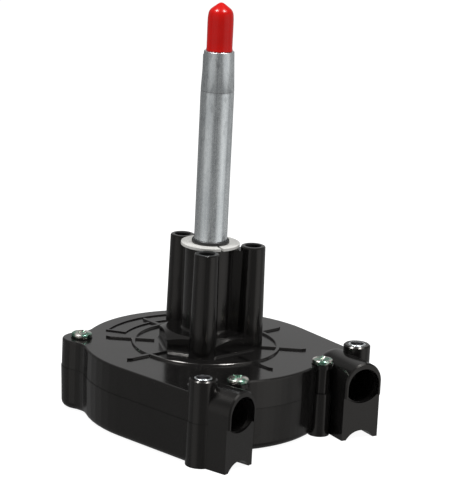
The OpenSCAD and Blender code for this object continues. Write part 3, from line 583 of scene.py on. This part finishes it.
# Screws: pan heads with a cross recess over a threaded shank. The points are (radius, height), above the tip
# for the shank and above the seat for the head
SCREW_STEPS = 48
SCREW_LEN = 34
SCREW_SEAT = heights("corner_screws")[0] + SCREW_LEN
SCREW_PITCH = 1
SCREW_THREAD_DEPTH = 0.5
SCREW_THREAD_START = 3
SCREW_THREAD_STOP = 1.5
SCREW_ROWS = 6
SHANK_R = 3
SHANK_TIP = [(0, 0), (SHANK_R - 0.9, 0), (SHANK_R - 0.5, 1)]
HEAD_R = 6
HEAD_H = heights("corner_screws")[1] - SCREW_SEAT
HEAD_FOOT = [(SHANK_R, 0.05), (HEAD_R - 0.5, 0.05), (HEAD_R - 0.15, 0.15), (HEAD_R, 0.45)]
DOME_R = 2.35 * HEAD_R
DOME_Z = HEAD_H - DOME_R
DOME_REACH = HEAD_R - 0.9
RIM_ROUNDING = 0.95
RIM_WALL_H = 0.3

# The cross recess: the reach of its arms, half their width and its depth, at its mouth, wall and floor. The
# arms' shape is in shares of that half width, and the bulge of their tips in a share of the reach
RECESS_REACH = 3.3
RECESS_BORDER = 0.6
RECESS_MOUTH = (RECESS_REACH + 0.15, 0.95)
RECESS_WALL = (RECESS_REACH, 0.8, 0.6)
RECESS_FLOOR = (1.75, 0.62, 2.1)
ARM_TIP_WIDTH = 0.72
ARM_TIP_BULGE = 1.02
ARM_ROOT = 1.55
CORNER_FLAT = 1.22


def cross_ring(reach, half_w, z):
    """The outline of a cross recess at one height, with small flats in its inner corners."""
    tip_w = half_w * ARM_TIP_WIDTH
    root = half_w * ARM_ROOT
    corner = half_w * CORNER_FLAT
    arm = [(reach, -tip_w), (reach * ARM_TIP_BULGE, 0), (reach, tip_w), (root, half_w), (corner, corner),
           (half_w, root)]
    ring = []
    for k in range(4):
        turn = Matrix.Rotation(k * math.pi / 2, 2)
        ring += [(*(turn @ Vector(p)), z) for p in arm]
    return ring


def screw_side():
    """The turned part of a screw, and the last point (r, z) of its outline, where the crown begins."""
    low = -SCREW_LEN
    start, stop = low + SCREW_THREAD_START, -SCREW_THREAD_STOP
    rows, wave = thread(start, stop, SCREW_PITCH, SCREW_THREAD_DEPTH, SCREW_ROWS)
    rim_angle = math.degrees(math.asin(DOME_REACH / DOME_R))
    dome = arc_points((0, DOME_Z), DOME_R, 90 - rim_angle, 90, 8)
    rim = arc_points((HEAD_R - RIM_ROUNDING, dome[0][1] - RIM_ROUNDING), RIM_ROUNDING, 0, 90 - rim_angle, 6)
    outline = (
        [(r, low + h) for r, h in SHANK_TIP]
        + [(SHANK_R, z) for z in rows]
        + HEAD_FOOT
        + [(HEAD_R, rim[0][1] - RIM_WALL_H)]
        + rim[1:]
        + [p for p in dome if p[0] > RECESS_REACH + RECESS_BORDER])
    return turned(outline, SCREW_STEPS, wave), outline[-1]


def recess_rings(turn):
    """The rings of the cross recess, its mouth on the dome first, turned by an angle in degrees."""
    flat = cross_ring(*RECESS_MOUTH, 0)
    rings = [[(x, y, DOME_Z + math.sqrt(DOME_R ** 2 - x * x - y * y)) for x, y, _ in flat]]
    for reach, half_w, depth in (RECESS_WALL, RECESS_FLOOR):
        rings.append(cross_ring(reach, half_w, HEAD_H - depth))
    spin = Matrix.Rotation(math.radians(turn), 3, "Z")
    return [[tuple(spin @ Vector(p)) for p in ring] for ring in rings]


def recess_shape(rings):
    """The walls between a recess's rings, and a floor over the last."""
    n = len(rings[0])
    faces = []
    for j in range(len(rings) - 1):
        for i in range(n):
            here, beside = j * n + i, j * n + (i + 1) % n
            faces.append((here, beside, beside + n, here + n))
    faces.append(tuple((len(rings) - 1) * n + i for i in range(n)))
    return [p for ring in rings for p in ring], faces


def bridge(outer, inner):
    """The face between a head's outer ring and the mouth of its recess, filled with triangles."""
    fill = bmesh.new()
    rings = []
    for ring in (outer, inner):
        made = [fill.verts.new(p) for p in ring]
        rings.append([fill.edges.new((made[i], made[(i + 1) % len(made)])) for i in range(len(made))])
    bmesh.ops.triangle_fill(fill, use_beauty=True, edges=rings[0] + rings[1])
    fill.verts.index_update()
    verts = [tuple(v.co) for v in fill.verts]
    faces = [tuple(v.index for v in f.verts) for f in fill.faces]
    fill.free()
    return verts, faces


def screw_shapes(turn):
    """The shapes of a screw whose head sits at z 0, its recess turned by an angle in degrees."""
    side, (crown_r, crown_z) = screw_side()
    angles = [2 * math.pi * k / SCREW_STEPS for k in range(SCREW_STEPS)]
    crown_ring = [(crown_r * math.cos(a), crown_r * math.sin(a), crown_z) for a in angles]
    rings = recess_rings(turn)
    return [side, recess_shape(rings), bridge(crown_ring, rings[0])]


def add_screws(name, node, turns):
    """A pair of screws at the left and right ends of their CAD node, each recess with its own turn."""
    low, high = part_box(node)
    shapes = []
    for side, turn in zip((1, -1), turns):
        place = ((low.x / MM + HEAD_R) * side, (low.y / MM + high.y / MM) / 2, SCREW_SEAT)
        shapes += [moved(shape, place) for shape in screw_shapes(turn)]
    add_piece(name, shapes, "housing", node, "screw_zinc", angle=SCREW_ANGLE)


# Threaded inserts for the lock bolts. The mouth's points are (radius, depth below the top), and the mouth
# and thread have painted shade up to a little below the top
INSERT_STEPS = 64
INSERT_R = 5
INSERT_CHAMFER = 0.3
INSERT_WALL_TOP = 0.35
INSERT_RIM_R = 4.25
INSERT_ROUNDING = 0.5
INSERT_MOUTH = [(3.95, 0), (3.8, 0.06), (3.35, 0.7)]
INSERT_THREAD_R = 3.35
INSERT_PITCH = 1
INSERT_THREAD_DEPTH = 0.5
INSERT_THREAD_START = 0.8
INSERT_THREAD_STOP = 0.9
INSERT_SHADE_R = 3.9
INSERT_SHADE_TOP = 0.02


def add_insert(node):
    """A plated insert with a bright rim, its mouth and thread darkened with painted shade."""
    low, high = (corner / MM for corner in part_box(node))
    depth = high.z - low.z
    rows, wave = thread(INSERT_THREAD_START, depth - INSERT_THREAD_STOP, INSERT_PITCH, INSERT_THREAD_DEPTH)
    outline = (
        [(INSERT_THREAD_R, 0), (INSERT_R - INSERT_CHAMFER, 0), (INSERT_R, INSERT_CHAMFER)]
        + [(INSERT_R, depth - INSERT_WALL_TOP)]
        + arc_points((INSERT_RIM_R, depth - INSERT_ROUNDING), INSERT_ROUNDING, 20, 90, 4)
        + [(r, depth - h) for r, h in INSERT_MOUTH]
        + [(INSERT_THREAD_R, z) for z in reversed(rows)]
        + [(INSERT_THREAD_R, 0)])
    foot = Vector(((low.x + high.x) / 2, (low.y + high.y) / 2, low.z))
    shape = moved(turned(outline, INSERT_STEPS, wave), foot)
    insert = add_piece("threaded_" + node, [shape], "housing", node, "zinc_steel")
    shade_top = high.z - INSERT_SHADE_TOP
    # The mouth and thread take the dark zinc as painted shade
    darken(insert, PAINTED_SHADE_BORE,
           lambda place: (place - foot).xy.length < INSERT_SHADE_R and place.z < shade_top)


# The three boss holes of the hub tower, on a ring about its axis, at angles in degrees
BOSS_HOLE_R = 4.2
BOSS_CHAMFER = 0.75
BOSS_RING_R = 24.7
BOSS_ANGLES = (90, 225, 315)


def roughen_boss_holes():
    """The inside of the boss holes is rough and black."""
    axes = [Matrix.Rotation(math.radians(angle), 2) @ Vector((BOSS_RING_R, 0)) for angle in BOSS_ANGLES]
    darken(nodes["front_housing"], ROUGH_HOLE,
           lambda place: any((place.xy - axis).length < BOSS_HOLE_R + BOSS_CHAMFER for axis in axes))


add_shaft()
add_cap()
add_screws("corner_pan_screws", "corner_screws", (20, 65))
add_screws("port_pan_screws", "port_screws", (12, 40))
add_insert("lock_insert_left")
add_insert("lock_insert_right")
roughen_boss_holes()
